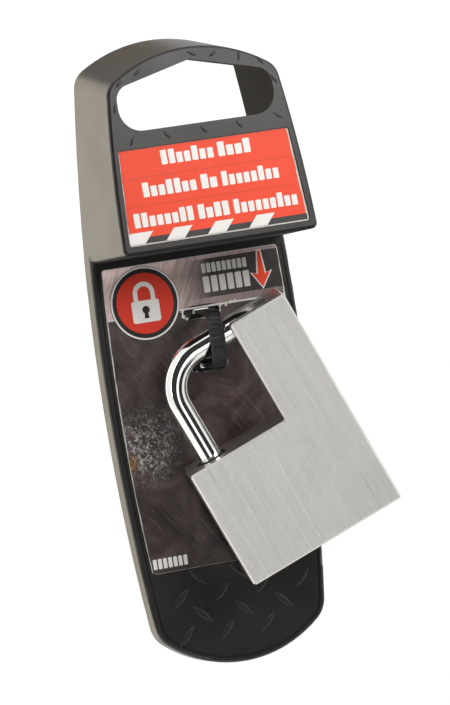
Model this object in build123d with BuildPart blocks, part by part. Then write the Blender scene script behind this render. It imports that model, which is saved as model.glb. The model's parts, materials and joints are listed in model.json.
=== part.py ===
"""Trailer coupler lock on its retail hanger.

An L-shaped stainless padlock with a bent chrome shackle is strapped by a ridged
cable tie to a hollow moulded hanger. Millimetres, +X right, +Y back, +Z up.
The origin is the seat of the display peg: the peak of the hang opening, in the
plane of the hanger's back rim.
"""
import os
from math import cos, radians, sin, sqrt

from build123d import *

# ---------------------------------------------------------------- hanger sizes
WALL = 1.6                  # moulded wall
TRAY_DEPTH = 6.0            # lower panel in front of the back rim
HALF_WIDTH = 36.2           # at the widest height
WIDEST_Z = -100.3
SIDE_RADIUS = 720.0         # the long sides bow outwards
ARCH_TOP = 8.7              # back rim above the peg seat
ARCH_RADIUS = 50.9
BOTTOM_Z = -202.0
BOTTOM_RADIUS = 43.5
TOP_CORNER = 8.0
BOTTOM_CORNER = 10.0

FRONT_DEPTH = 31.0          # upper block's front face at the peg seat
FRONT_WALL = 2.2
FRONT_LEAN = 5.6            # degrees: its foot stands further forward
FRONT_ARCH_TOP = 4.1
FRONT_ARCH_RADIUS = 50.0
FRONT_FOOT = -61.5          # the front face's lower edge, measured along the face
FOOT_SLOPE = 2.6            # degrees: the block's underside falls towards the back
FRONT_HALF_TOP = 31.0
FRONT_HALF_TOP_AT = -12.0
FRONT_HALF_FOOT = 34.8
FRONT_SHOULDER = 30.5
FRONT_CORNER = 7.0
FOOT_CORNER = 3.0
TRAY_EDGE = 1.2
GROOVE_INSET = 1.8          # a fine groove runs round the tray inside its edge
GROOVE_WIDTH = 0.45
GROOVE_DEPTH = 0.3
BLOCK_EDGE = 1.0

OPENING_HALF = 27.8         # hang opening
OPENING_SHOULDER = -6.8
OPENING_FLOOR = -21.3
OPENING_LOW_CORNER = 7.6
OPENING_HIGH_CORNER = 5.5

LABEL_THICK = 0.3
LABEL_GAP = 0.15            # between a label and the edge of its recess
UPPER_RECESS = 0.8
UPPER_LABEL_TOP = -26.9
UPPER_LABEL_FOOT = -58.7
UPPER_LABEL_HALF_TOP = 30.55
UPPER_LABEL_HALF_FOOT = 32.4
LOWER_RECESS = 0.5
LOWER_LABEL_TOP = -64.9
LOWER_LABEL_FOOT = -168.1
LABEL_MARGIN = 3.3

# ------------------------------------------------------------------ lock sizes
BODY_WIDTH = 57.15
BODY_HEIGHT = 79.7
BODY_THICK = 19.05
ARM_WIDTH = 20.6
BLOCK_HEIGHT = 42.9
BODY_CHAMFER = 0.7

ROD = 3.97                  # shackle rod radius
RUNNING = 0.05              # radial clearance of a running fit
HEEL_X = 9.5
RUN_Z = BODY_HEIGHT - 2.9   # axis of the shackle's level run
BEND = 14.0
TOE_BEND = 9.0
TOE_X = 47.5
TOE_END = RUN_Z - 12.0
HEEL_END = 8.0
LIFT = 16.0                 # the case drops this far when it is unlocked

PLUG_X = 30.0
PLUG_RADIUS = 5.5
SLEEVE_RADIUS = 7.5
SLEEVE_LENGTH = 29.0
CHAMBER_TOP = 37.5
BOLT_Z = 34.0
BOLT_RADIUS = 2.9
BOLT_TIP = 13.8
CAM_OFFSET = 2.0            # eccentric pin off the plug's axis
CAM_PIN = 1.1
BOLT_THROW = 2 * CAM_OFFSET * sin(radians(45))
WAFERS = 6
WAFER_PITCH = 3.2
WAFER_FIRST = 5.0
WAFER_THICK = 1.2
WAFER_WIDTH = 6.8
KEYWAY = (2.0, 7.6)
STOP_PIN_Z = 28.0
STOP_PIN_RADIUS = 1.4
STOP_FLAT = 1.27            # how far the stop pin bites into the heel
LOCK_PIN_Z = 14.0
LOCK_PIN_RADIUS = 1.25
LOCK_PIN_BITE = 0.3         # how far its axis lies inside the sleeve's wall
PIN_DEPTH = 5.0             # the pins reach this far past mid thickness
PIN_SUNK = 0.3              # their ends below the back face
HEEL_BORE_FLOOR = 2.6
SEAL_THICK = 1.6
SEAL_RADIUS = 5.6
SEAL_SUNK = 0.2
SPRING_RADIUS = 2.7
SPRING_WIRE = 0.45
SPRING_PITCH = 1.25
SPRING_TURNS = 3.25
PLUG_RECESS = 0.6
BOSS_RADIUS = 3.0
BOSS_LENGTH = 1.0
TONGUE = (1.6, 4.4)
CAM_RADIUS = 4.8
CAM_THICK = 1.2
CLIP_RIM = 2.6
CLIP_THICK = 0.8
CLIP_GAP = 0.06             # clip above the sleeve's end
BOLT_PLATE = 3.0
BOLT_NECK = (2.0, 5.0)      # overlap with the nose, and width
BOLT_YOKE = (5.2, 7.6)
BOLT_YOKE_AT = 0.8          # off the bore's axis
NOTCH_PLAY = 0.5

# --------------------------------------------------------- the lock's place
LOCK_TILT = 23.4            # degrees, anticlockwise seen from the front
LOCK_YAW = 16.5             # degrees, right-hand side swung forward
LOCK_CORNER = (0.9, -16.05, -174.7)   # lower left corner, at mid thickness
TIE_AT = 30.5               # where the tie crosses the shackle's run

tilt = radians(LOCK_TILT)
yaw = radians(LOCK_YAW)
lock_x = Vector(cos(yaw) * cos(tilt), -sin(yaw), cos(yaw) * sin(tilt))
lock_z = Vector(-sin(tilt), 0, cos(tilt))
lock_pose = Location(Plane(origin=LOCK_CORNER, x_dir=lock_x, z_dir=lock_z))
swing_axis = Vector(*LOCK_CORNER) + lock_x * TIE_AT + lock_z * RUN_Z

# --------------------------------------------------------------------- the tie
TIE_WIDTH = 5.0
TIE_THICK = 1.3
TIE_HALF_HEIGHT = 9.6       # outside the strap
TIE_FRONT_GAP = 1.3         # strap ahead of the rod
TIE_BEND = 6.5              # where the strap turns over the rod
TIE_YAW = 13.0              # the strap lies nearly square to the rod
SLOT_SIZE = (12.5, 3.5)     # tie slots in the panel
HEAD_SIZE = (7.2, 6.4)      # width and height of the tie's head
KEY_THICK = 1.5
BOW_RADIUS = 10.0
BOW_EDGE = 5.1              # from a key's eye to the end of its bow
BLADE_WIDTH = 7.4
BLADE_LENGTH = 23.0
KEY_EYE = (6.6, 1.9)        # just wide enough for the strap
KEY_CUTS = (4.5, 1.4)       # first cut from the bow, and width of each
CUT_DEPTH = 1.2
CUT_STEP = 0.5
KEY_ROOM = 0.65             # between a key and the strap's back run
STRAP_BACK_BEND = 1.6

os.makedirs("parts", exist_ok=True)


def save(builder, name, pose=Location()):
    """Name a finished piece, put it in its place and write it."""
    piece = builder.part.moved(pose)
    piece.label = name
    export_step(piece, "parts/" + name + ".step")


def side_half_width(z):
    """Half width of the hanger's bowed outline at a height."""
    return HALF_WIDTH - SIDE_RADIUS + sqrt(SIDE_RADIUS**2 - (z - WIDEST_Z) ** 2)


def arch_height(x, top, radius):
    """Height of an arch of a given crown and radius, off its middle."""
    return top - radius + sqrt(radius**2 - x**2)


# ================================================================ hanger_shell
shoulder_x = 29.5
foot_x = 30.6


def rim_shape(plane, inset):
    """The hanger's whole outline, with every side moved in."""
    top_x = shoulder_x - inset
    low_x = foot_x - inset
    top = (top_x, arch_height(top_x, ARCH_TOP - inset, ARCH_RADIUS - inset))
    low = (low_x, -arch_height(low_x, -BOTTOM_Z - inset, BOTTOM_RADIUS - inset))
    side = (HALF_WIDTH - inset, WIDEST_Z)
    with BuildSketch(plane) as outline:
        with BuildLine():
            ThreePointArc((-top[0], top[1]), (0, ARCH_TOP - inset), top)
            ThreePointArc(top, side, low)
            ThreePointArc(low, (0, BOTTOM_Z + inset), (-low[0], low[1]))
            ThreePointArc((-low[0], low[1]), (-side[0], side[1]), (-top[0], top[1]))
        make_face()
        fillet(outline.vertices().group_by(Axis.Y)[-1], TOP_CORNER - inset)
        fillet(outline.vertices().group_by(Axis.Y)[0], BOTTOM_CORNER - inset)
    return outline


lean = radians(FRONT_LEAN)
front_normal = Vector(0, -cos(lean), sin(lean))
front_plane = Plane(origin=(0, -FRONT_DEPTH, 0), x_dir=(1, 0, 0), z_dir=front_normal)
front_foot_y = -FRONT_DEPTH + FRONT_FOOT * sin(lean)
fall = sin(radians(FOOT_SLOPE)) / cos(radians(FOOT_SLOPE))
block_foot_z = FRONT_FOOT * cos(lean) + front_foot_y * fall


def block_shape(plane, arch, arch_radius, half_top, middle, half_low, low, corner):
    """Arched top, slightly bowed sides and a flat foot."""
    z_top = arch_height(half_top, arch, arch_radius)
    with BuildSketch(plane) as outline:
        with BuildLine():
            ThreePointArc((-half_top, z_top), (0, arch), (half_top, z_top))
            ThreePointArc((half_top, z_top), middle, (half_low, low))
            Line((half_low, low), (-half_low, low))
            ThreePointArc((-half_low, low), (-middle[0], middle[1]), (-half_top, z_top))
        make_face()
        fillet(outline.vertices().group_by(Axis.Y)[-1], corner)
        fillet(outline.vertices().group_by(Axis.Y)[0], FOOT_CORNER - 1)
    return outline.sketch.faces()[0]


def block_back(inset):
    """The upper block's section in the plane of the back rim."""
    mid_z = block_foot_z / 2
    middle = (side_half_width(mid_z) - inset, mid_z)
    half_low = side_half_width(block_foot_z) - inset
    return block_shape(Plane.XZ, ARCH_TOP - inset, ARCH_RADIUS - inset, shoulder_x - inset,
                       middle, half_low, block_foot_z + inset, TOP_CORNER - inset)


def block_front(depth, inset):
    """The upper block's section parallel to its leaning front face."""
    middle = (FRONT_HALF_TOP + 0.25 - inset, FRONT_HALF_TOP_AT)
    return block_shape(front_plane.offset(-depth), FRONT_ARCH_TOP - inset,
                       FRONT_ARCH_RADIUS - inset, FRONT_SHOULDER - inset, middle,
                       FRONT_HALF_FOOT - inset, FRONT_FOOT + inset, FRONT_CORNER - inset)


def hang_opening(plane):
    """Flat floor, rounded ends and a peaked top that centres the peg."""
    with BuildSketch(plane) as opening:
        with BuildLine():
            Polyline((0, 0), (OPENING_HALF, OPENING_SHOULDER), (OPENING_HALF, OPENING_FLOOR),
                     (-OPENING_HALF, OPENING_FLOOR), (-OPENING_HALF, OPENING_SHOULDER), close=True)
        make_face()
        fillet(opening.vertices().group_by(Axis.Y)[0], OPENING_LOW_CORNER)
        fillet(opening.vertices().group_by(Axis.Y)[-2], OPENING_HIGH_CORNER)
    return opening


def upper_label_shape(plane, margin):
    """The upper label: a little wider at its foot."""
    top = UPPER_LABEL_TOP - margin
    low = UPPER_LABEL_FOOT + margin
    half_top = UPPER_LABEL_HALF_TOP - margin
    half_low = UPPER_LABEL_HALF_FOOT - margin
    with BuildSketch(plane) as shape:
        with BuildLine():
            Polyline((-half_top, top), (half_top, top), (half_low, low), (-half_low, low), close=True)
        make_face()
        fillet(shape.vertices(), 0.8)
    return shape


def lower_label_shape(plane, margin):
    """The lower label: follows the hanger's bowed sides."""
    outline = rim_shape(Plane.XY, LABEL_MARGIN + margin)
    height = LOWER_LABEL_TOP - LOWER_LABEL_FOOT - 2 * margin
    with BuildSketch(plane) as shape:
        add(outline.sketch)
        with Locations((0, (LOWER_LABEL_TOP + LOWER_LABEL_FOOT) / 2)):
            Rectangle(4 * HALF_WIDTH, height, mode=Mode.INTERSECT)
        fillet(shape.vertices(), 1.2)
    return shape


tie_back = Vector(sin(radians(TIE_YAW)), cos(radians(TIE_YAW)), 0)
tie_plane = Plane(origin=swing_axis, x_dir=tie_back, z_dir=tie_back.cross(Vector(0, 0, 1)))
slot_x = swing_axis.X + (-TRAY_DEPTH - swing_axis.Y) * sin(radians(TIE_YAW)) / cos(radians(TIE_YAW))
slot_rise = TIE_HALF_HEIGHT - TIE_THICK / 2
slot_places = [(slot_x, swing_axis.Z + slot_rise), (slot_x, swing_axis.Z - slot_rise)]


def tie_slots(plane, grow):
    """The pair of level slots that the tie passes through."""
    with BuildSketch(plane) as slots:
        with Locations(*slot_places):
            SlotOverall(SLOT_SIZE[0] + grow, SLOT_SIZE[1] + grow)
    return slots


def tray_shape(plane, inset, top):
    """The part of the hanger's outline below a height."""
    with BuildSketch(plane) as shape:
        add(rim_shape(Plane.XY, inset).sketch)
        with Locations((0, top)):
            Rectangle(4 * HALF_WIDTH, BOTTOM_Z * -2, align=(Align.CENTER, Align.MAX), mode=Mode.INTERSECT)
    return shape


tray_front = Plane.XZ.offset(TRAY_DEPTH)
tray_top = block_foot_z + 2 * WALL

with BuildSketch(tray_front) as rim_groove:
    add(tray_shape(Plane.XY, GROOVE_INSET, LOWER_LABEL_TOP).sketch)
    add(tray_shape(Plane.XY, GROOVE_INSET + GROOVE_WIDTH, LOWER_LABEL_TOP).sketch, mode=Mode.SUBTRACT)

with BuildPart() as hanger_shell:
    extrude(tray_shape(Plane.XZ, 0, tray_top).sketch, amount=TRAY_DEPTH)
    fillet(hanger_shell.faces().sort_by(Axis.Y)[0].edges().sort_by(Axis.Z)[:-1], TRAY_EDGE)
    loft([block_back(0), block_front(0, 0)])
    fillet(hanger_shell.faces().sort_by(Axis.Y)[0].edges(), BLOCK_EDGE)
    extrude(tray_shape(Plane.XZ, WALL, tray_top).sketch, amount=TRAY_DEPTH - WALL, mode=Mode.SUBTRACT)
    loft([block_back(WALL), block_front(FRONT_WALL, WALL)], mode=Mode.SUBTRACT)
    extrude(hang_opening(front_plane).sketch, amount=2 * FRONT_WALL, both=True, mode=Mode.SUBTRACT)
    extrude(upper_label_shape(front_plane, 0).sketch, amount=-UPPER_RECESS, mode=Mode.SUBTRACT)
    extrude(lower_label_shape(tray_front, 0).sketch, amount=-LOWER_RECESS, mode=Mode.SUBTRACT)
    extrude(rim_groove.sketch, amount=-GROOVE_DEPTH, mode=Mode.SUBTRACT)
    extrude(tie_slots(tray_front, 0).sketch, amount=-2 * WALL, mode=Mode.SUBTRACT)

# ====================================================================== labels
with BuildPart() as upper_label:
    extrude(upper_label_shape(front_plane.offset(-UPPER_RECESS), LABEL_GAP).sketch, amount=LABEL_THICK)

label_seat = Plane.XZ.offset(TRAY_DEPTH - LOWER_RECESS)
with BuildPart() as lower_label:
    extrude(lower_label_shape(label_seat, LABEL_GAP).sketch, amount=LABEL_THICK)
    extrude(tie_slots(label_seat, 0.8).sketch, amount=2 * LABEL_THICK, both=True, mode=Mode.SUBTRACT)

# ========================================================= cable_tie and keys
panel_back = -(TRAY_DEPTH - WALL)
strap_back = (panel_back + KEY_THICK + KEY_ROOM - swing_axis.Y) / tie_back.Y + TIE_THICK
strap_front = -(ROD + TIE_FRONT_GAP + TIE_THICK)
head_x = slot_x + 0.6
key_x = slot_x + (TRAY_DEPTH + panel_back + KEY_THICK / 2) * tie_back.X / tie_back.Y


def strap_loop(inset):
    """The strap's loop in side view, outside or inside."""
    front = strap_front + inset
    back = strap_back - inset
    half = TIE_HALF_HEIGHT - inset
    with BuildSketch(tie_plane) as loop:
        with BuildLine():
            Polyline((front, -half), (back, -half), (back, half), (front, half), close=True)
        make_face()
        fillet(loop.vertices().group_by(Axis.X)[0], TIE_BEND - inset)
        fillet(loop.vertices().group_by(Axis.X)[-1], STRAP_BACK_BEND - inset)
    return loop


with BuildPart() as cable_tie:
    extrude(strap_loop(0).sketch, amount=TIE_WIDTH / 2, both=True)
    extrude(strap_loop(TIE_THICK).sketch, amount=TIE_WIDTH, both=True, mode=Mode.SUBTRACT)
    with BuildSketch(Plane.XZ.offset(-panel_back - 0.05)) as tie_head:
        with Locations((head_x, swing_axis.Z)):
            RectangleRounded(*HEAD_SIZE, 1.0)
    extrude(amount=panel_back + 0.4)


def hidden_key(place, down):
    """A flat padlock key whose eye the strap passes through."""
    side = -1 if down else 1
    bow = (place[0], place[1] + side * (BOW_RADIUS - BOW_EDGE))
    with BuildPart() as key:
        with BuildSketch(Plane.XZ.offset(-panel_back - KEY_THICK)) as outline:
            with Locations(bow):
                Circle(BOW_RADIUS)
            with Locations((bow[0], bow[1] + side * (BOW_RADIUS + BLADE_LENGTH) / 2)):
                Rectangle(BLADE_WIDTH, BOW_RADIUS + BLADE_LENGTH)
            for cut in range(WAFERS):
                reach = BOW_RADIUS + KEY_CUTS[0] + cut * WAFER_PITCH
                depth = CUT_DEPTH + CUT_STEP * (cut % 3)
                with Locations((bow[0] + BLADE_WIDTH / 2, bow[1] + side * reach)):
                    Rectangle(2 * depth, KEY_CUTS[1], mode=Mode.SUBTRACT)
            with Locations(place):
                SlotOverall(*KEY_EYE, mode=Mode.SUBTRACT)
        extrude(amount=KEY_THICK)
    return key


key_up = hidden_key((key_x, slot_places[0][1]), down=False)
key_down = hidden_key((key_x, slot_places[1][1]), down=True)

# =================================================================== lock_body
half_thick = BODY_THICK / 2
arm_x = BODY_WIDTH - ARM_WIDTH
fit_radius = ROD + RUNNING
slot_half = ROD + 0.15
toe_inner = TOE_BEND - ROD - 0.15      # the toe slot's rounded inside corner
toe_bend_x = TOE_X - TOE_BEND
toe_bend_z = RUN_Z - TOE_BEND
stop_pin_x = HEEL_X - ROD - STOP_PIN_RADIUS + STOP_FLAT
lock_pin_x = PLUG_X + SLEEVE_RADIUS - LOCK_PIN_BITE

with BuildPart() as lock_body:
    with BuildSketch(Plane.XZ) as ell:
        with BuildLine():
            Polyline((0, 0), (BODY_WIDTH, 0), (BODY_WIDTH, BODY_HEIGHT), (arm_x, BODY_HEIGHT),
                     (arm_x, BLOCK_HEIGHT), (0, BLOCK_HEIGHT), close=True)
        make_face()
    extrude(amount=half_thick, both=True)
    chamfer(lock_body.edges(), BODY_CHAMFER)
    # heel bore, with a shallow seat for the seal
    with BuildSketch(Plane.XY.offset(BLOCK_HEIGHT)) as heel_bore:
        with Locations((HEEL_X, 0)):
            Circle(fit_radius)
    extrude(amount=-(BLOCK_HEIGHT - HEEL_BORE_FLOOR), mode=Mode.SUBTRACT)
    with BuildSketch(Plane.XY.offset(BLOCK_HEIGHT)) as seal_seat:
        with Locations((HEEL_X, 0)):
            Circle(SEAL_RADIUS)
    extrude(amount=-SEAL_THICK, mode=Mode.SUBTRACT)
    # the milled slot that takes the shackle's run and toe, open at the top
    with BuildSketch(Plane.XZ) as toe_slot:
        with BuildLine():
            Polyline((arm_x - 1, BODY_HEIGHT + 1), (arm_x - 1, RUN_Z - slot_half),
                     (toe_bend_x, RUN_Z - slot_half))
            ThreePointArc((toe_bend_x, toe_bend_z + toe_inner),
                          (toe_bend_x + toe_inner * sin(radians(45)),
                           toe_bend_z + toe_inner * cos(radians(45))),
                          (toe_bend_x + toe_inner, toe_bend_z))
            Polyline((toe_bend_x + toe_inner, toe_bend_z), (toe_bend_x + toe_inner, TOE_END - 1),
                     (TOE_X + slot_half, TOE_END - 1), (TOE_X + slot_half, BODY_HEIGHT + 1),
                     (arm_x - 1, BODY_HEIGHT + 1))
        make_face()
    extrude(amount=slot_half, both=True, mode=Mode.SUBTRACT)
    # cylinder bore and the chamber above it
    with BuildSketch() as cylinder_bore:
        with Locations((PLUG_X, 0)):
            Circle(SLEEVE_RADIUS)
    extrude(amount=CHAMBER_TOP, mode=Mode.SUBTRACT)
    with BuildSketch(Plane.YZ.offset(HEEL_X)) as bolt_bore:
        with Locations((0, BOLT_Z)):
            Circle(BOLT_RADIUS + RUNNING)
    extrude(amount=PLUG_X - HEEL_X, mode=Mode.SUBTRACT)
    # cross holes from the back for the two pins
    with BuildSketch(Plane.XZ.offset(PIN_DEPTH)) as pin_holes:
        with Locations((stop_pin_x, STOP_PIN_Z)):
            Circle(STOP_PIN_RADIUS)
        with Locations((lock_pin_x, LOCK_PIN_Z)):
            Circle(LOCK_PIN_RADIUS)
    extrude(amount=-(PIN_DEPTH + half_thick), mode=Mode.SUBTRACT)

with BuildPart() as stop_pin:
    with BuildSketch(Plane.XZ.offset(PIN_DEPTH)):
        with Locations((stop_pin_x, STOP_PIN_Z)):
            Circle(STOP_PIN_RADIUS)
    extrude(amount=-(PIN_DEPTH + half_thick - PIN_SUNK))

with BuildPart() as cylinder_pin:
    with BuildSketch(Plane.XZ.offset(PIN_DEPTH)):
        with Locations((lock_pin_x, LOCK_PIN_Z)):
            Circle(LOCK_PIN_RADIUS)
    extrude(amount=-(PIN_DEPTH + half_thick - PIN_SUNK))

with BuildPart() as shackle_seal:
    with BuildSketch(Plane.XY.offset(BLOCK_HEIGHT - SEAL_THICK)):
        with Locations((HEEL_X, 0)):
            Circle(SEAL_RADIUS)
            Circle(fit_radius, mode=Mode.SUBTRACT)
    extrude(amount=SEAL_THICK - SEAL_SUNK)

with BuildPart() as shackle_spring:
    with BuildLine() as coil:
        Helix(pitch=SPRING_PITCH, height=SPRING_TURNS * SPRING_PITCH, radius=SPRING_RADIUS,
              center=(HEEL_X, 0, HEEL_BORE_FLOOR + SPRING_WIRE + 0.1))
    with BuildSketch(Plane(origin=coil.line @ 0, z_dir=coil.line % 0)):
        Circle(SPRING_WIRE)
    sweep(path=coil.line, is_frenet=True)

# ===================================================================== shackle
notch_floor = BOLT_TIP - BOLT_THROW - 0.2

with BuildPart() as shackle:
    with BuildLine(Plane.XZ) as rod_path:
        FilletPolyline((HEEL_X, HEEL_END), (HEEL_X, RUN_Z), (TOE_X, RUN_Z), (TOE_X, TOE_END),
                       radius=[BEND, TOE_BEND])
    with BuildSketch(Plane.XY.offset(HEEL_END)):
        with Locations((HEEL_X, 0)):
            Circle(ROD)
    sweep(path=rod_path.line)
    chamfer(shackle.edges().group_by(Axis.Z)[0], 0.6)
    # two notches for the bolt: closed, and dropped open
    with BuildSketch(Plane.XZ) as bolt_notches:
        with Locations((notch_floor, BOLT_Z), (notch_floor, BOLT_Z - LIFT)):
            Rectangle(2 * ROD, 2 * BOLT_RADIUS + NOTCH_PLAY, align=(Align.MIN, Align.CENTER))
        # the long flat that the stop pin runs in
        with Locations((stop_pin_x + STOP_PIN_RADIUS + 0.3, STOP_PIN_Z - LIFT / 2)):
            Rectangle(2 * ROD, LIFT + 2 * STOP_PIN_RADIUS + 0.4, align=(Align.MAX, Align.CENTER))
    extrude(amount=2 * ROD, both=True, mode=Mode.SUBTRACT)

# ============================================================ cylinder and bolt
with BuildPart() as cylinder_sleeve:
    with BuildSketch():
        with Locations((PLUG_X, 0)):
            Circle(SLEEVE_RADIUS)
            Circle(PLUG_RADIUS + RUNNING, mode=Mode.SUBTRACT)
    extrude(amount=SLEEVE_LENGTH)
    with BuildSketch(Plane.XZ):
        with Locations((lock_pin_x, LOCK_PIN_Z)):
            Circle(LOCK_PIN_RADIUS)
    extrude(amount=half_thick, both=True, mode=Mode.SUBTRACT)

wafer_heights = [WAFER_FIRST + index * WAFER_PITCH for index in range(WAFERS)]

with BuildPart() as lock_plug:
    with BuildSketch(Plane.XY.offset(PLUG_RECESS)):
        with Locations((PLUG_X, 0)):
            Circle(PLUG_RADIUS)
    extrude(amount=SLEEVE_LENGTH - PLUG_RECESS)
    with BuildSketch(Plane.XY.offset(SLEEVE_LENGTH)):
        with Locations((PLUG_X, 0)):
            Circle(BOSS_RADIUS)
    extrude(amount=BOSS_LENGTH)
    with BuildSketch(Plane.XY.offset(SLEEVE_LENGTH + BOSS_LENGTH)):
        with Locations((PLUG_X, 0)):
            Rectangle(*TONGUE)
    extrude(amount=CAM_THICK)
    with BuildSketch(Plane.XY.offset(PLUG_RECESS)):
        with Locations((PLUG_X, 0)):
            Rectangle(*KEYWAY)
    extrude(amount=SLEEVE_LENGTH - 3.0, mode=Mode.SUBTRACT)
    for height in wafer_heights:
        with BuildSketch(Plane.XY.offset(height - WAFER_THICK / 2 - 0.05)):
            with Locations((PLUG_X, 0)):
                Rectangle(WAFER_WIDTH + 0.1, 2 * PLUG_RADIUS)
        extrude(amount=WAFER_THICK + 0.1, mode=Mode.SUBTRACT)


def wafer(height):
    """A sprung plate with a window for the key's blade."""
    with BuildPart() as plate:
        with BuildSketch(Plane.XY.offset(height - WAFER_THICK / 2)) as outline:
            with Locations((PLUG_X, 0)):
                Circle(PLUG_RADIUS - 0.1)
                Rectangle(WAFER_WIDTH, 2 * PLUG_RADIUS, mode=Mode.INTERSECT)
                Rectangle(KEYWAY[0] + 0.6, KEYWAY[1] + 0.4, mode=Mode.SUBTRACT)
        extrude(amount=WAFER_THICK)
    return plate


with BuildPart() as plug_clip:
    with BuildSketch(Plane.XY.offset(SLEEVE_LENGTH + CLIP_GAP)):
        with Locations((PLUG_X, 0)):
            Circle(BOSS_RADIUS + CLIP_RIM)
            Circle(BOSS_RADIUS, mode=Mode.SUBTRACT)
        with Locations((PLUG_X, -BOSS_RADIUS - 1)):
            Rectangle(CLIP_RIM, 2 * BOSS_RADIUS, mode=Mode.SUBTRACT)
    extrude(amount=CLIP_THICK)

cam_place = CAM_OFFSET * sin(radians(45))
cam_base = SLEEVE_LENGTH + BOSS_LENGTH
with BuildPart() as drive_cam:
    with BuildSketch(Plane.XY.offset(cam_base)):
        with Locations((PLUG_X, 0)):
            Circle(CAM_RADIUS)
            Rectangle(*TONGUE, mode=Mode.SUBTRACT)
    extrude(amount=CAM_THICK)
    with BuildSketch(Plane.XY.offset(cam_base + CAM_THICK)):
        with Locations((PLUG_X + cam_place, cam_place)):
            Circle(CAM_PIN)
    extrude(amount=BOLT_Z + BOLT_PLATE / 2 + 0.5 - cam_base - CAM_THICK)

nose_end = PLUG_X - CAM_RADIUS - 0.4
plate_x = PLUG_X + cam_place
with BuildPart() as locking_bolt:
    with BuildSketch(Plane.YZ.offset(BOLT_TIP)):
        with Locations((0, BOLT_Z)):
            Circle(BOLT_RADIUS)
    extrude(amount=nose_end - BOLT_TIP)
    chamfer(locking_bolt.edges().group_by(Axis.X)[0], 0.4)
    with BuildSketch(Plane.XY.offset(BOLT_Z - BOLT_PLATE / 2)):
        with Locations((nose_end - BOLT_NECK[0], 0)):
            Rectangle(plate_x - nose_end + BOLT_NECK[0], BOLT_NECK[1], align=(Align.MIN, Align.CENTER))
        with Locations((plate_x, BOLT_YOKE_AT)):
            Rectangle(*BOLT_YOKE)
        with Locations((plate_x, (cam_place + CAM_OFFSET) / 2)):
            SlotOverall(2 * CAM_PIN + CAM_OFFSET - cam_place + 0.4, 2 * CAM_PIN + 0.3,
                        rotation=90, mode=Mode.SUBTRACT)
    extrude(amount=BOLT_PLATE)

# ======================================================================= write
save(hanger_shell, "hanger_shell")
save(upper_label, "upper_label")
save(lower_label, "lower_label")
save(cable_tie, "cable_tie")
save(key_up, "key_up")
save(key_down, "key_down")
save(lock_body, "lock_body", lock_pose)
save(stop_pin, "shackle_stop_pin", lock_pose)
save(cylinder_pin, "cylinder_pin", lock_pose)
save(shackle_seal, "shackle_seal", lock_pose)
save(shackle_spring, "shackle_spring", lock_pose)
save(shackle, "shackle", lock_pose)
save(cylinder_sleeve, "cylinder_sleeve", lock_pose)
save(lock_plug, "lock_plug", lock_pose)
save(plug_clip, "plug_clip", lock_pose)
save(drive_cam, "drive_cam", lock_pose)
save(locking_bolt, "locking_bolt", lock_pose)
for index, height in enumerate(wafer_heights, start=1):
    save(wafer(height), "wafer_" + str(index), lock_pose)
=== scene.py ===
"""Looks of the trailer coupler lock and its hanger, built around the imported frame."""
import json
import math
import random

import bmesh
import bpy
from mathutils import Matrix, Vector


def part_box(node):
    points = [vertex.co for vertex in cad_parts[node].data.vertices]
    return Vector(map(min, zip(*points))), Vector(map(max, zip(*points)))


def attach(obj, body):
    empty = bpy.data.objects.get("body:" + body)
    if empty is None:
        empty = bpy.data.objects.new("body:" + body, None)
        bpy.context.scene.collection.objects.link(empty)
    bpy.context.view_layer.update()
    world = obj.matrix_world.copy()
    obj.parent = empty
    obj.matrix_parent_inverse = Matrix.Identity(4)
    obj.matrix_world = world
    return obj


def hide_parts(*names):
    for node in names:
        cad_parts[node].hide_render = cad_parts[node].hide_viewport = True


MM = 0.001
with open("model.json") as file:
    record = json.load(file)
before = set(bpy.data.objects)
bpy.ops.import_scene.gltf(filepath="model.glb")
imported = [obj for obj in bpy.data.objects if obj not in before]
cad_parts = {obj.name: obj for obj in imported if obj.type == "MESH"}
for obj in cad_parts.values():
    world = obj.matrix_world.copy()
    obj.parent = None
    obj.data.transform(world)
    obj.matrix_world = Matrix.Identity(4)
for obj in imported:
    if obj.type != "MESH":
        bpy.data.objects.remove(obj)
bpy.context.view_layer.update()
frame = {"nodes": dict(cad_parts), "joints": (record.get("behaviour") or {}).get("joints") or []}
nodes = frame["nodes"]

# ------------------------------------------------------------ the frame's geometry
FRONT_LEAN = math.radians(5.6)      # the upper block's face
TIE_YAW = math.radians(13)          # the strap lies nearly square to the rod
LOCK_TILT = math.radians(23.4)      # anticlockwise, seen from the front
LOCK_YAW = math.radians(16.5)       # right-hand side swung forward
WIDEST_Z = -100.3                   # hanger's bowed sides, in millimetres
SIDE_RADIUS = 720.0
FOOT_RADIUS = 43.5                  # hanger's rounded lower end
DIVIDER_Z = -82.1                   # between the lower label's band and its field
OPENING_Z = -13.0                   # middle of the hang opening
UPPER_SUNK = 0.5                    # upper label's face behind the block's
LOWER_SUNK = 0.2                    # lower label's face behind the tray's
UPPER_TAPER = 1.85 / 31.5           # lean of the upper label's sides

joints = {joint["name"]: joint for joint in frame["joints"]}
swing_point = Vector(joints["lock_swing"]["pos_m"])
upper_low, upper_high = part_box("upper_label")
lower_low, lower_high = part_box("lower_label")
shell_low, shell_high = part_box("hanger_shell")
tie_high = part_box("cable_tie")[1]

face_up = Vector((0, math.sin(FRONT_LEAN), math.cos(FRONT_LEAN)))
face_out = Vector((0, -math.cos(FRONT_LEAN), math.sin(FRONT_LEAN)))
label_foot = Vector((0, upper_low.y, upper_low.z))
opening_peak = label_foot - face_up * (label_foot.z / face_up.z)


def on_upper(u, v, w):
    """A place on the upper label: across, up from its foot, and out of it (mm)."""
    return label_foot + Vector((u * MM, 0, 0)) + face_up * (v * MM) + face_out * (w * MM)


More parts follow.
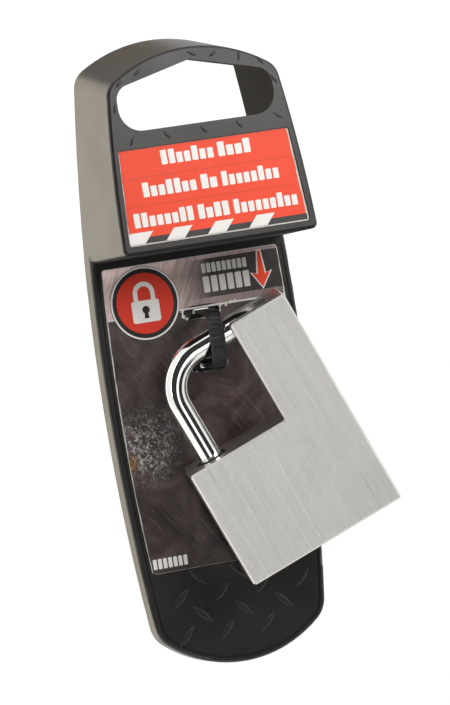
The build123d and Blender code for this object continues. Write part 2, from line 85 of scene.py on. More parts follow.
def on_block(u, v, w):
    """A place on the upper block's face: across, up from the peg seat, and out (mm)."""
    return opening_peak + Vector((u * MM, 0, 0)) + face_up * (v * MM) + face_out * ((w + UPPER_SUNK) * MM)


def on_tray(u, v, w):
    """A place on the lower label: across, height in the row frame, and out (mm)."""
    return Vector((u * MM, lower_low.y - w * MM, v * MM))


def on_tread(u, v, w):
    """A place on the tray's face round the lower label, in the same directions (mm)."""
    return on_tray(u, v, w + LOWER_SUNK)


def label_half_width(v):
    """Half width of the lower label at a height, in mm."""
    bow = SIDE_RADIUS - math.sqrt(SIDE_RADIUS**2 - (v - WIDEST_Z) ** 2)
    return lower_high.x / MM - bow


# ----------------------------------------------------------------- node helpers
MIX_FACTOR = 0              # sockets of a Mix node that mixes colours
MIX_FIRST = 6
MIX_SECOND = 7
MIX_RESULT = 2


class Shader:
    """A Principled material with short ways to add procedural detail."""

    def __init__(self, name, color, roughness, metallic=0.0, **values):
        self.material = bpy.data.materials.new(name)
        self.material.use_nodes = True
        self.tree = self.material.node_tree
        self.bsdf = self.tree.nodes["Principled BSDF"]
        self.bsdf.inputs["Base Color"].default_value = (*color, 1)
        self.bsdf.inputs["Roughness"].default_value = roughness
        self.bsdf.inputs["Metallic"].default_value = metallic
        for key, value in values.items():
            self.bsdf.inputs[key.replace("_", " ")].default_value = value

    def node(self, kind, **settings):
        """A new node with its settings."""
        made = self.tree.nodes.new(kind)
        for key, value in settings.items():
            setattr(made, key, value)
        return made

    def link(self, source, target):
        """Join an output to an input."""
        self.tree.links.new(source, target)

    def place(self, scale=(1, 1, 1), rotation=(0, 0, 0)):
        """Object coordinates, turned and then stretched."""
        coordinates = self.node("ShaderNodeTexCoord")
        turn = self.node("ShaderNodeMapping")
        turn.inputs["Rotation"].default_value = rotation
        stretch = self.node("ShaderNodeMapping")
        stretch.inputs["Scale"].default_value = scale
        self.link(coordinates.outputs["Object"], turn.inputs["Vector"])
        self.link(turn.outputs["Vector"], stretch.inputs["Vector"])
        return stretch.outputs["Vector"]

    def noise(self, vector, scale=1.0, detail=2.0, rough=0.5, distortion=0.0):
        """Fractal noise from 0 to 1."""
        texture = self.node("ShaderNodeTexNoise")
        texture.inputs["Scale"].default_value = scale
        texture.inputs["Detail"].default_value = detail
        texture.inputs["Roughness"].default_value = rough
        texture.inputs["Distortion"].default_value = distortion
        self.link(vector, texture.inputs["Vector"])
        return texture.outputs["Fac"]

    def ramp(self, factor, stops):
        """A colour ramp; each stop is a position and a grey or a colour."""
        made = self.node("ShaderNodeValToRGB")
        elements = made.color_ramp.elements
        while len(elements) < len(stops):
            elements.new(0.5)
        for element, (position, value) in zip(elements, stops):
            element.position = position
            rgb = value if isinstance(value, tuple) else (value, value, value)
            element.color = (*rgb, 1)
        self.link(factor, made.inputs["Fac"])
        return made.outputs["Color"]

    def mix(self, factor, first, second, blend="MIX"):
        """Mix two colours; each may be a socket or a colour."""
        made = self.node("ShaderNodeMix", data_type="RGBA", blend_type=blend)
        for socket, value in ((MIX_FACTOR, factor), (MIX_FIRST, first), (MIX_SECOND, second)):
            if isinstance(value, bpy.types.NodeSocket):
                self.link(value, made.inputs[socket])
            elif isinstance(value, tuple):
                made.inputs[socket].default_value = (*value, 1)
            else:
                made.inputs[socket].default_value = value
        return made.outputs[MIX_RESULT]

    def bump(self, height, strength, distance_mm, base=None):
        """Fine relief, on top of an earlier one if base gives it."""
        made = self.node("ShaderNodeBump")
        made.inputs["Strength"].default_value = strength
        made.inputs["Distance"].default_value = distance_mm * MM
        self.link(height, made.inputs["Height"])
        if base is not None:
            self.link(base, made.inputs["Normal"])
        self.link(made.outputs["Normal"], self.bsdf.inputs["Normal"])
        return made.outputs["Normal"]

    def set(self, name, socket):
        """Drive one of the surface's inputs."""
        self.link(socket, self.bsdf.inputs[name])


# -------------------------------------------------------------------- materials
def moulded_plastic(name, color, roughness, shade_inside=False):
    """Black moulded plastic: fine grain and faint marks; a hollow shell gets painted shade on its inner
    sides, near-black and fully matt.
    """
    look = Shader(name, color, roughness)
    grain = look.noise(look.place(), scale=2600, detail=3, rough=0.6)
    marks = look.noise(look.place(), scale=38, detail=5, rough=0.55)
    skin = look.ramp(marks, [(0.35, roughness - 0.03), (0.7, roughness + 0.05)])
    dust = look.noise(look.place(), scale=900, detail=2)
    lighter = tuple(c * 1.4 + 0.005 for c in color)
    tone = look.mix(look.ramp(dust, [(0.62, 0.0), (0.8, 0.6)]), color, lighter)
    if shade_inside:
        # painted shade: the inner sides of the shell and of the opening are made near-black and fully matt,
        # in place of the shade that falls inside them
        inside = inner_side(look)
        skin = look.mix(inside, skin, (0.95, 0.95, 0.95))
        tone = look.mix(inside, tone, (0.006, 0.005, 0.005))
    look.set("Roughness", skin)
    look.set("Base Color", tone)
    look.bump(grain, 0.35, 0.03)
    return look.material


def inner_side(look):
    """One on the shell's inner sides, which face its own middle or the middle of the opening; it marks where
    the shade is painted.
    """
    geometry = look.node("ShaderNodeNewGeometry")
    sides = []
    for middle_z, depth_mm in ((shell_low.z / 2, 12), (OPENING_Z * MM, 7.5)):
        offset = look.node("ShaderNodeVectorMath", operation="SUBTRACT")
        look.link(geometry.outputs["Position"], offset.inputs[0])
        offset.inputs[1].default_value = (0, 0, middle_z)
        flat = look.node("ShaderNodeVectorMath", operation="MULTIPLY")
        look.link(offset.outputs[0], flat.inputs[0])
        flat.inputs[1].default_value = (1, 0, 1)
        outward = look.node("ShaderNodeVectorMath", operation="DOT_PRODUCT")
        look.link(flat.outputs[0], outward.inputs[0])
        look.link(geometry.outputs["True Normal"], outward.inputs[1])
        facing_in = look.node("ShaderNodeMath", operation="LESS_THAN")
        look.link(outward.outputs["Value"], facing_in.inputs[0])
        facing_in.inputs[1].default_value = -depth_mm * MM
        sides.append(facing_in.outputs[0])
    either = look.node("ShaderNodeMath", operation="MAXIMUM")
    look.link(sides[0], either.inputs[0])
    look.link(sides[1], either.inputs[1])
    return either.outputs[0]


def brushed_stainless():
    """Belt-ground stainless: long fine scratches up the arm, with a few deeper ones."""
    look = Shader("stainless_brushed", (0.66, 0.65, 0.62), 0.34, 1.0)
    turned = (0, LOCK_TILT, LOCK_YAW)
    fine = look.noise(look.place(scale=(2600, 2600, 45), rotation=turned), detail=3, rough=0.65)
    deep = look.noise(look.place(scale=(900, 900, 28), rotation=turned), detail=2, rough=0.5)
    cloud = look.noise(look.place(), scale=45, detail=4, rough=0.6)
    look.set("Roughness", look.ramp(fine, [(0.3, 0.26), (0.7, 0.46)]))
    tone = look.ramp(fine, [(0.32, (0.52, 0.51, 0.485)), (0.68, (0.76, 0.75, 0.72))])
    dark = look.ramp(deep, [(0.66, 1.0), (0.74, 0.72)])
    shade = look.ramp(cloud, [(0.3, 0.92), (0.7, 1.0)])
    look.set("Base Color", look.mix(1.0, look.mix(1.0, tone, dark, "MULTIPLY"), shade, "MULTIPLY"))
    base = look.bump(fine, 0.25, 0.02)
    look.bump(deep, 0.3, 0.04, base)
    return look.material


def polished_chrome():
    """Mirror chrome with the slightest drawn texture and a few hairlines."""
    look = Shader("shackle_chrome", (0.82, 0.82, 0.81), 0.05, 1.0)
    hair = look.noise(look.place(scale=(1400, 1400, 60), rotation=(0, LOCK_TILT, LOCK_YAW)), detail=2)
    look.set("Roughness", look.ramp(hair, [(0.5, 0.04), (0.8, 0.14)]))
    look.bump(hair, 0.05, 0.01)
    return look.material


def machined(name, color, roughness):
    """Plain turned or ground metal."""
    look = Shader(name, color, roughness, 1.0)
    grain = look.noise(look.place(scale=(400, 400, 1800)), detail=2)
    look.set("Roughness", look.ramp(grain, [(0.3, roughness - 0.06), (0.7, roughness + 0.12)]))
    darker = tuple(c * 0.8 for c in color)
    look.set("Base Color", look.mix(look.noise(look.place(), scale=220, detail=3), darker, color))
    look.bump(grain, 0.1, 0.01)
    return look.material


DIP_MARGIN = 1.2            # the plastic reaches this far past the bow's round


def capped_key(name):
    """A nickel key whose bow is dipped in black plastic."""
    look = Shader(name, (0.62, 0.6, 0.56), 0.26)
    low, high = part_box(name)
    points_up = (low + high).z / 2 > swing_point.z
    reach = (high.x - low.x) / 2
    bow_z = low.z + reach if points_up else high.z - reach
    from_bow = look.node("ShaderNodeVectorMath", operation="DISTANCE")
    look.link(look.place(scale=(1, 0, 1)), from_bow.inputs[0])
    from_bow.inputs[1].default_value = ((low.x + high.x) / 2, 0, bow_z)
    bow = look.node("ShaderNodeMath", operation="LESS_THAN")
    look.link(from_bow.outputs["Value"], bow.inputs[0])
    bow.inputs[1].default_value = reach + DIP_MARGIN * MM
    grain = look.noise(look.place(), scale=1600, detail=2)
    dipped = bow.outputs[0]
    polish = look.ramp(grain, [(0.3, 0.2), (0.7, 0.34)])
    look.set("Base Color", look.mix(dipped, (0.62, 0.6, 0.56), (0.012, 0.012, 0.012)))
    look.set("Metallic", look.mix(dipped, (1, 1, 1), (0, 0, 0)))
    look.set("Roughness", look.mix(dipped, polish, (0.5, 0.5, 0.5)))
    look.bump(grain, 0.15, 0.02)
    return look.material


def soft_rubber():
    """Matt black rubber of the seal."""
    look = Shader("seal_rubber", (0.02, 0.02, 0.02), 0.75)
    look.bump(look.noise(look.place(), scale=1800, detail=2), 0.2, 0.03)
    return look.material


def nylon():
    """Black nylon of the tie: satin, faintly cloudy."""
    look = Shader("tie_nylon", (0.016, 0.016, 0.017), 0.46, Specular_IOR_Level=0.4)
    look.set("Roughness", look.ramp(look.noise(look.place(), scale=300, detail=3), [(0.3, 0.4), (0.7, 0.54)]))
    look.bump(look.noise(look.place(), scale=1500, detail=2), 0.12, 0.02)
    return look.material


def white_paper():
    """Raw card edge: fibres and a slightly dirty white."""
    look = Shader("label_card", (0.82, 0.8, 0.76), 0.8)
    fibre = look.noise(look.place(), scale=1400, detail=4, rough=0.7)
    look.set("Base Color", look.ramp(fibre, [(0.3, (0.66, 0.64, 0.6)), (0.7, (0.88, 0.87, 0.84))]))
    look.bump(fibre, 0.5, 0.05)
    return look.material


def printed(name, color, spread=0.06, sheen=0.5):
    """Coated ink on card: light gloss, tiny scuffs and uneven ink."""
    look = Shader(name, color, 0.34, Specular_IOR_Level=sheen)
    scuff = look.noise(look.place(), scale=420, detail=5, rough=0.7)
    ink = look.noise(look.place(), scale=90, detail=4)
    deeper = tuple(c * (1 - spread * 2) for c in color)
    even = look.mix(ink, deeper, color)
    worn = tuple(min(1, c * 1.1 + 0.05) for c in color)
    look.set("Base Color", look.mix(look.ramp(scuff, [(0.68, 0.0), (0.76, 0.5)]), even, worn))
    look.set("Roughness", look.ramp(scuff, [(0.35, 0.28), (0.75, 0.5)]))
    look.bump(ink, 0.08, 0.05)
    return look.material


def near_spot(look, x_mm, z_mm, inner_mm, outer_mm):
    """One within the inner distance of a place on the lower label, and zero past the outer."""
    distance = look.node("ShaderNodeVectorMath", operation="DISTANCE")
    look.link(look.place(scale=(1, 0, 1)), distance.inputs[0])
    distance.inputs[1].default_value = (x_mm * MM, 0, z_mm * MM)
    return look.ramp(distance.outputs["Value"], [(inner_mm * MM, 1.0), (outer_mm * MM, 0.0)])


BAND_SLANT = math.radians(-27)      # of the printed brush marks
FIELD_SLANT = math.radians(35)      # of the printed scratches
PAINTED_LIGHT_TOP = 6.0                    # painted light: the band is brightened over its top stretch, under the block's overhang, mm
PANEL_FOOT = 2.7                    # the dark panel's lower edge above the divider, mm


def brushed_print():
    """The label's top band: a mauve print of brushed metal with a dark panel on its right, and painted light
    over its top stretch.
    """
    look = Shader("label_band", (0.4, 0.34, 0.33), 0.36)
    slant = (0, BAND_SLANT, 0)
    streak = look.noise(look.place(scale=(1500, 1, 60), rotation=slant), detail=4, rough=0.7)
    patch = look.noise(look.place(scale=(70, 1, 45), rotation=slant), detail=3, rough=0.6)
    split = look.node("ShaderNodeSeparateXYZ")
    look.link(look.place(), split.inputs[0])
    across = look.node("ShaderNodeMapRange")
    across.inputs["From Min"].default_value = lower_low.x
    across.inputs["From Max"].default_value = lower_high.x
    look.link(split.outputs["X"], across.inputs["Value"])
    fade = look.ramp(across.outputs[0], [(0.0, 1.15), (0.3, 0.9), (0.5, 0.6), (0.75, 0.4), (1.0, 0.34)])
    tone = look.ramp(streak, [(0.3, (0.42, 0.3, 0.29)), (0.5, (0.7, 0.53, 0.51)),
                              (0.72, (1.0, 0.8, 0.77))])
    cloud = look.ramp(patch, [(0.3, 0.75), (0.7, 1.1)])
    brushed = look.mix(1.0, look.mix(1.0, tone, fade, "MULTIPLY"), cloud, "MULTIPLY")
    rise = look.node("ShaderNodeMapRange")
    rise.inputs["From Min"].default_value = lower_high.z - PAINTED_LIGHT_TOP * MM
    rise.inputs["From Max"].default_value = lower_high.z
    look.link(split.outputs["Z"], rise.inputs["Value"])
    # painted light: the colour grows up to twice as bright toward the top edge, making up for the shade under
    # the block's overhang
    brushed = look.mix(1.0, brushed, look.ramp(rise.outputs[0], [(0.0, 1.0), (0.8, 2.0)]), "MULTIPLY")
    above = look.node("ShaderNodeMath", operation="GREATER_THAN")
    look.link(split.outputs["Z"], above.inputs[0])
    above.inputs[1].default_value = (DIVIDER_Z + PANEL_FOOT) * MM
    panel = look.ramp(across.outputs[0], [(0.47, 0.0), (0.6, 0.93)])
    below = look.ramp(rise.outputs[0], [(0.76, 1.0), (0.8, 0.0)])
    dark = look.mix(1.0, look.mix(1.0, above.outputs[0], below, "MULTIPLY"), panel, "MULTIPLY")
    look.set("Base Color", look.mix(dark, brushed, (0.016, 0.011, 0.011)))
    return look.material


def grunge_print():
    """The label's field: near-black print with slanted scratches, smears, spatter and rust."""
    look = Shader("label_grunge", (0.04, 0.03, 0.03), 0.36)
    slant = (0, FIELD_SLANT, 0)
    scratch = look.noise(look.place(scale=(1300, 1, 30), rotation=slant), detail=5, rough=0.7)
    where = look.noise(look.place(), scale=34, detail=3, rough=0.6, distortion=0.6)
    smear = look.noise(look.place(), scale=62, detail=5, rough=0.65, distortion=1.2)
    tone = look.ramp(smear, [(0.3, (0.02, 0.013, 0.013)), (0.5, (0.052, 0.036, 0.036)),
                             (0.72, (0.11, 0.08, 0.079))])
    lines = look.ramp(scratch, [(0.52, 0.0), (0.72, 0.85)])
    patchy = look.mix(1.0, lines, look.ramp(where, [(0.42, 0.0), (0.62, 1.0)]), "MULTIPLY")
    scratched = look.mix(patchy, tone, (0.25, 0.2, 0.195))
    paler = near_spot(look, 10, -117, 3, 22)
    worn = look.mix(paler, scratched, (2.6, 2.5, 2.5), "MULTIPLY")
    spatter = look.noise(look.place(), scale=760, detail=7, rough=0.8, distortion=1.0)
    splash = near_spot(look, -25.0, -125.0, 3, 14)
    dots = look.mix(1.0, look.ramp(spatter, [(0.5, 0.0), (0.6, 1.0)]), splash, "MULTIPLY")
    spattered = look.mix(dots, worn, (0.74, 0.71, 0.68))
    stain = near_spot(look, -32.2, -130, 0.4, 1.7)
    rust = look.mix(1.0, look.ramp(spatter, [(0.44, 0.0), (0.5, 1.0)]), stain, "MULTIPLY")
    look.set("Base Color", look.mix(rust, spattered, (0.5, 0.2, 0.02)))
    look.set("Roughness", look.ramp(smear, [(0.3, 0.3), (0.7, 0.45)]))
    return look.material


BLACK = (0.009, 0.008, 0.0075)
shell_black = moulded_plastic("hanger_black", BLACK, 0.38, shade_inside=True)
tread_black = moulded_plastic("tread_black", BLACK, 0.38)
steel = machined("hard_steel", (0.5, 0.5, 0.5), 0.3)
brass = machined("cylinder_brass", (0.72, 0.53, 0.24), 0.3)
tie_nylon = nylon()
paper = white_paper()
ink_red = printed("ink_red", (0.95, 0.085, 0.036), sheen=0.2)
ink_dark_red = printed("ink_dark_red", (0.36, 0.03, 0.02))
ink_badge_red = printed("ink_badge_red", (0.78, 0.05, 0.025), sheen=0.3)
ink_black = printed("ink_black", (0.014, 0.012, 0.012), 0.2)
ink_white = printed("ink_white", (0.87, 0.85, 0.82), 0.02)
ink_grey = printed("ink_grey", (0.74, 0.72, 0.69), 0.03)

finishes = {
    "hanger_shell": shell_black,
    "upper_label": paper,
    "lower_label": paper,
    "key_up": capped_key("key_up"),
    "key_down": capped_key("key_down"),
    "lock_body": brushed_stainless(),
    "shackle": polished_chrome(),
    "shackle_seal": soft_rubber(),
    "cylinder_sleeve": brass,
    "lock_plug": brass,
}
for name, node in nodes.items():
    finish = finishes.get(name, brass if name.startswith("wafer") else steel)
    if not node.material_slots:
        node.data.materials.append(finish)
    for material_slot in node.material_slots:
        material_slot.material = finish


# ----------------------------------------------------------------- mesh helpers
def add_piece(name, mesh_data, material, body="hanger", smooth=None):
    """Turn a bmesh into a finished piece that rides on a body."""
    bmesh.ops.recalc_face_normals(mesh_data, faces=mesh_data.faces)
    mesh = bpy.data.meshes.new(name)
    mesh_data.to_mesh(mesh)
    mesh_data.free()
    piece = bpy.data.objects.new(name, mesh)
    bpy.context.scene.collection.objects.link(piece)
    mesh.materials.append(material)
    if smooth is not None:
        for polygon in mesh.polygons:
            polygon.use_smooth = True
        mesh.set_sharp_from_angle(angle=math.radians(smooth))
    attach(piece, body)
    return piece


def flat_shapes(name, shapes, place, lift, thick, material):
    """Thin closed plates. A shape is an outline and its holes, as lists of (u, v) in mm."""
    bm = bmesh.new()
    for loops in shapes:
        layers = []
        for w in (lift, lift + thick):
            rings = [[bm.verts.new(place(u, v, w)) for u, v in loop] for loop in loops]
            edges = [bm.edges.new((a, b)) for ring in rings for a, b in zip(ring, ring[1:] + ring[:1])]
            bmesh.ops.triangle_fill(bm, use_beauty=True, use_dissolve=False, edges=edges)
            layers.append(rings)
        for low, high in zip(*layers):
            for i in range(len(low)):
                j = (i + 1) % len(low)
                bm.faces.new((low[i], low[j], high[j], high[i]))
    return add_piece(name, bm, material)


def rounded_box(u0, v0, u1, v1, radius, steps=3):
    """Outline of a rectangle with rounded corners."""
    points = []
    corners = ((u1, v1, 0), (u0, v1, 90), (u0, v0, 180), (u1, v0, 270))
    for u, v, start in corners:
        cu = u - radius if u == u1 else u + radius
        cv = v - radius if v == v1 else v + radius
        for step in range(steps + 1):
            angle = math.radians(start + 90 * step / steps)
            points.append((cu + radius * math.cos(angle), cv + radius * math.sin(angle)))
    return points


def ring_points(u, v, radius, steps=56):
    """Outline of a circle."""
    turns = [2 * math.pi * step / steps for step in range(steps)]
    return [(u + radius * math.cos(t), v + radius * math.sin(t)) for t in turns]


LETTER = 0.55               # a block's width to its row's height
SHORT = 0.72                # a low block's height to a tall one's
TALL_SHARE = 0.3            # of the blocks after the first in a word


def word_row(words, centre, low, rise, gap, space, seed, capitals=False):
    """A row of rounded blocks grouped like words; stands in for a line of print."""
    rng = random.Random(seed)
    total = sum(words) + space * (len(words) - 1)
    start = centre - total / 2
    shapes = []
    for width in words:
        count = max(1, round(width / (rise * LETTER)))
        pitch = (width + gap) / count
        for index in range(count):
            tall = capitals or index == 0 or rng.random() < TALL_SHARE
            top = low + rise * (1.0 if tall else SHORT)
            left = start + index * pitch
            shapes.append([rounded_box(left, low, left + pitch - gap, top, 0.3)])
        start += width + space
    return shapes


# ------------------------------------------------------------------ upper label
PRINT = 0.05                # thickness of a printed layer, mm
ART_LIFT = 0.06             # from one printed layer to the next
RAGGED_STEPS = 12           # straight stretches in a torn side
BARE_EDGE = 0.45            # card left bare beside the print
BARE_FOOT = 0.5             # below it
BARE_TOP = 0.06             # and above it
BAND_RISE = 1.95            # height of the hazard band
BAND_INSET = 0.1            # its ends, further in than the bare edge
STRIPE_RISE = 3.8           # height of its stripes, which reach into the red field
STRIPE_LEAN = 3.4           # shift of a stripe's top to the right of its foot
STRIPE_WIDE = 6.6
DASH = 0.42                 # length of a perforation
DASH_PITCH = 0.8
DASH_RISE = 0.16
ROW_RISE = 4.8
ROW_GAP = 0.62
label_high_v = (upper_high.z - upper_low.z) / face_up.z / MM


def upper_half(v):
    """Half width of the upper label at a height above its foot."""
    return upper_high.x / MM - UPPER_TAPER * v


def print_red_field():
    """The red print, ragged along both sides of the card."""
    rng = random.Random(4)
    left = []
    right = []
    for step in range(RAGGED_STEPS + 1):
        v = BARE_FOOT + (label_high_v - BARE_FOOT - BARE_TOP) * step / RAGGED_STEPS
        half = upper_half(v) - BARE_EDGE
        left.append((-half - rng.uniform(0.15, 0.36), v))
        right.append((half + rng.uniform(-0.25, 0.05), v))
    flat_shapes("upper_print", [[right + left[::-1]]], on_upper, 0.0, PRINT, ink_red)


def print_hazard_band():
    """A black band along the foot, crossed by four white stripes."""
    half = upper_half(0) - BARE_EDGE - BAND_INSET
    low = BARE_FOOT
    top = low + BAND_RISE
    strip = [(-half, low), (half, low), (half - BAND_INSET, top), (-half + BAND_INSET, top)]
    flat_shapes("hazard_band", [[strip]], on_upper, ART_LIFT, PRINT, ink_black)
    stripes = []
    top = low + STRIPE_RISE
    for start, wide, lean in ((-0.5, 5.5, 0.12), (12.4, STRIPE_WIDE, STRIPE_LEAN),
                              (27.2, STRIPE_WIDE, STRIPE_LEAN), (42.0, STRIPE_WIDE, STRIPE_LEAN)):
        u = start - half
        stripes.append([[(u, low), (u + wide, low), (u + wide + STRIPE_LEAN, top), (u + lean, top)]])
    flat_shapes("hazard_stripes", stripes, on_upper, 2 * ART_LIFT, PRINT, ink_white)


def print_perforations():
    """Two dashed lines across the red field."""
    dashes = []
    for v in (12.6, 21.9):
        half = upper_half(v) - 1.0
        for index in range(int(2 * half / DASH_PITCH)):
            u = -half + index * DASH_PITCH
            dashes.append([[(u, v), (u + DASH, v), (u + DASH, v + DASH_RISE), (u, v + DASH_RISE)]])
    flat_shapes("perforations", dashes, on_upper, ART_LIFT, PRINT, ink_dark_red)


def dress_upper_label():
    """Red field, hazard band, perforations and three centred rows."""
    print_red_field()
    print_hazard_band()
    print_perforations()
    rows = word_row([18.6, 11.6], 0, 25.3, ROW_RISE, ROW_GAP, 1.7, seed=1)
    rows += word_row([19.0, 5.6, 20.4], 0, 15.5, ROW_RISE, ROW_GAP, 1.8, seed=2)
    rows += word_row([21.0, 11.0, 22.8], 0, 5.8, ROW_RISE, ROW_GAP, 1.8, seed=3)
    flat_shapes("upper_rows", rows, on_upper, ART_LIFT, PRINT, ink_white)


# ------------------------------------------------------------------ lower label
SLOT_RISE = 8.95            # the tie's slots above and below the swing point
RIGHT_BARE = 0.35           # card left bare beside the print
LEFT_BARE = 0.4
DIVIDER_HALF = 0.3          # half the divider's height
FLAKE_THICK = 0.12
FLAKES = ((-6.9, 0.9, 0.9), (-5.7, -1.7, 0.9), (-6.6, -0.7, 0.6), (6.9, 1.3, 1.0), (8.9, 0.9, 0.7),
          (10.9, 1.7, 1.1), (12.3, 2.2, 0.6), (-4.9, -19.6, 0.5))    # place off the upper slot, and size


def torn_slot(centre_u, centre_v, seed, half_long, half_high, steps=44):
    """Ragged outline round a slot, where the tie has torn the print."""
    rng = random.Random(seed)
    points = []
    for step in range(steps):
        t = 2 * math.pi * step / steps
        tear = 1 + rng.uniform(0, 0.05) + max(0, -math.cos(t)) ** 3 * rng.uniform(0, 0.14)
        u = math.copysign(abs(math.cos(t)) ** 0.6, math.cos(t)) * half_long * tear
        v = math.copysign(abs(math.sin(t)) ** 0.8, math.sin(t)) * half_high * tear
        points.append((centre_u + u, centre_v + v))
    return points


def side_run(v_from, v_to, side, inset, steps, rng=None):
    """Points down one bowed side of the lower label."""
    points = []
    for step in range(steps + 1):
        v = v_from + (v_to - v_from) * step / steps
        jitter = rng.uniform(-0.12, 0.1) if rng else 0
        points.append((side * (label_half_width(v) - inset - jitter), v))
    return points


def tie_slot_u():
    """Middle of the tie's slots across the label: the strap reaches them at its yaw."""
    depth = (lower_low.y - swing_point.y) / MM
    return swing_point.x / MM + depth * math.tan(TIE_YAW)


def torn_flakes(slot_u, slot_v, rng, steps=9):
    """Torn card that stands a little off the print beside the tie's slots."""
    flakes = []
    for u, v, size in FLAKES:
        ragged = []
        for step in range(steps):
            t = 2 * math.pi * step / steps
            reach = size * rng.uniform(0.35, 1.0)
            ragged.append((slot_u + u + reach * math.cos(t), slot_v + v + 0.7 * reach * math.sin(t)))
        flakes.append([ragged])
    return flakes


def dress_lower_label():
    """Brushed band, dark field with the tie's slots, divider and torn flakes."""
    rng = random.Random(9)
    top = lower_high.z / MM - 0.25
    foot = lower_low.z / MM + 0.1
    slot_u = tie_slot_u()
    slot_v = swing_point.z / MM + SLOT_RISE
    band = side_run(top, DIVIDER_Z, 1, RIGHT_BARE, 6, rng)
    band += side_run(DIVIDER_Z, top, -1, LEFT_BARE, 6, rng)
    flat_shapes("band_print", [[band]], on_tray, 0.0, PRINT, brushed_print())
    holes = [torn_slot(slot_u, slot_v, 3, 6.75, 2.25),
             torn_slot(slot_u, swing_point.z / MM - SLOT_RISE, 5, 6.7, 2.2)]
    field_top = DIVIDER_Z - 0.01
    field = side_run(field_top, foot, 1, RIGHT_BARE, 26, rng)
    field += side_run(foot, field_top, -1, LEFT_BARE, 26, rng)
    flat_shapes("field_print", [[field] + holes], on_tray, 0.0, PRINT, grunge_print())
    half = label_half_width(DIVIDER_Z) - LEFT_BARE
    low = DIVIDER_Z - DIVIDER_HALF
    high = DIVIDER_Z + DIVIDER_HALF
    line = [(-half, low), (half, low), (half, high), (-half, high)]
    flat_shapes("divider", [[line]], on_tray, ART_LIFT, PRINT, ink_grey)
    flat_shapes("torn_card", torn_flakes(slot_u, slot_v, rng), on_tray, ART_LIFT, FLAKE_THICK, paper)


def arch_run(u, v, radius):
    """One side of the padlock sign's shackle: up, over a half circle and down."""
    points = [(u + radius, v + 1.05)]
    for angle in range(0, 181, 15):
        t = math.radians(angle)
        points.append((u + radius * math.cos(t), v + 3.4 + radius * math.sin(t)))
    points.append((u - radius, v + 1.05))
    return points


def dress_badge():
    """A plain round badge with a padlock sign."""
    u, v, radius = -18.2, -78.0, 12.4
    flat_shapes("badge_back", [[ring_points(u, v, radius)]], on_tray, 2 * ART_LIFT, PRINT, ink_black)
    rim = [ring_points(u, v, radius - 0.15), ring_points(u, v, radius - 0.75)]
    flat_shapes("badge_rim", [rim], on_tray, 3 * ART_LIFT, PRINT, ink_white)
    field = ring_points(u, v, radius - 2.2)
    flat_shapes("badge_field", [[field]], on_tray, 3 * ART_LIFT, PRINT, ink_badge_red)
    body = rounded_box(u - 5.0, v - 6.4, u + 5.0, v + 1.0, 0.9)
    hole = ring_points(u, v - 2.2, 1.3, 20)
    slit = [(u - 0.55, v - 3.2), (u + 0.55, v - 3.2), (u + 0.9, v - 5.0), (u - 0.9, v - 5.0)]
    arch = arch_run(u, v, 3.9) + arch_run(u, v, 2.3)[::-1]
    flat_shapes("badge_sign", [[body], [arch]], on_tray, 4 * ART_LIFT, PRINT, ink_white)
    flat_shapes("badge_keyhole", [[hole], [slit]], on_tray, 5 * ART_LIFT, PRINT, ink_black)


def arrow_outline(grow):
    """Outline of the downward arrow, drawn larger all round by grow (mm)."""
    u, tip, top, half = 24.9, -78.6, -66.5, 3.4
    neck = tip + 5.0 + 0.5 * grow
    right = [(half + 1.2 * grow, neck), (1.25 + grow, neck - 0.6), (0.45 + 0.7 * grow, top + grow)]
    left = [(-across, v) for across, v in reversed(right)]
    return [(u, tip - 1.4 * grow)] + [(u + across, v) for across, v in right + left]


def dress_words_and_arrow():
    """Three plain rows of blocks, and the red arrow that points down at the lock."""
    rows = word_row([16.4], 11.8, -71.1, 3.2, 0.45, 1, seed=5, capitals=True)
    flat_shapes("small_row", rows, on_tray, 2 * ART_LIFT, PRINT, ink_grey)
    rows = word_row([16.9], 12.0, -77.7, 5.4, 0.7, 1, seed=6, capitals=True)
    flat_shapes("large_row", rows, on_tray, 2 * ART_LIFT, PRINT, ink_grey)
    flat_shapes("arrow_edge", [[arrow_outline(0.55)]], on_tray, 2 * ART_LIFT, PRINT, ink_white)
    flat_shapes("arrow_red", [[arrow_outline(0.0)]], on_tray, 3 * ART_LIFT, PRINT, ink_red)
    rows = word_row([12.4], -22.6, -166.4, 3.4, 0.5, 1, seed=8, capitals=True)
    flat_shapes("foot_row", rows, on_tray, ART_LIFT, PRINT, ink_white)


# ------------------------------------------------------------------------ tread
TREAD_STATIONS = 11         # cross-sections along a mark
TREAD_SUNK = 0.15           # its rim lies this far inside the plastic
TREAD_SECTION = ((-0.8, 0.55), (-0.35, 0.95), (0.35, 0.95), (0.8, 0.55))    # across, and height
TREAD_COUNT = 5             # rows, and places in a row
TREAD_TOP_V = -171.0
TREAD_ROW_STEP = 6.4
TREAD_COLUMN_STEP = 14.75
TREAD_SIDE_MARGIN = 7.5     # from a mark's middle to the tray's sides
TREAD_FOOT_MARGIN = 6.5     # and to its rounded end
OPENING_MARKS = ((-25.0, -24.3, 60), (-12.6, -23.8, -52), (0.6, -23.8, -52), (13.4, -23.8, -52),
                 (27.5, -22.6, -40), (-29.0, -13.0, 75), (-26.0, -5.0, 40), (-19.0, -2.2, 35),
                 (1.2, 1.6, -30), (8.6, 0.6, 30), (17.6, -1.2, 75), (28.6, -10.5, -62),
                 (24.8, -3.6, -55))           # place on the block's face, and slant in degrees


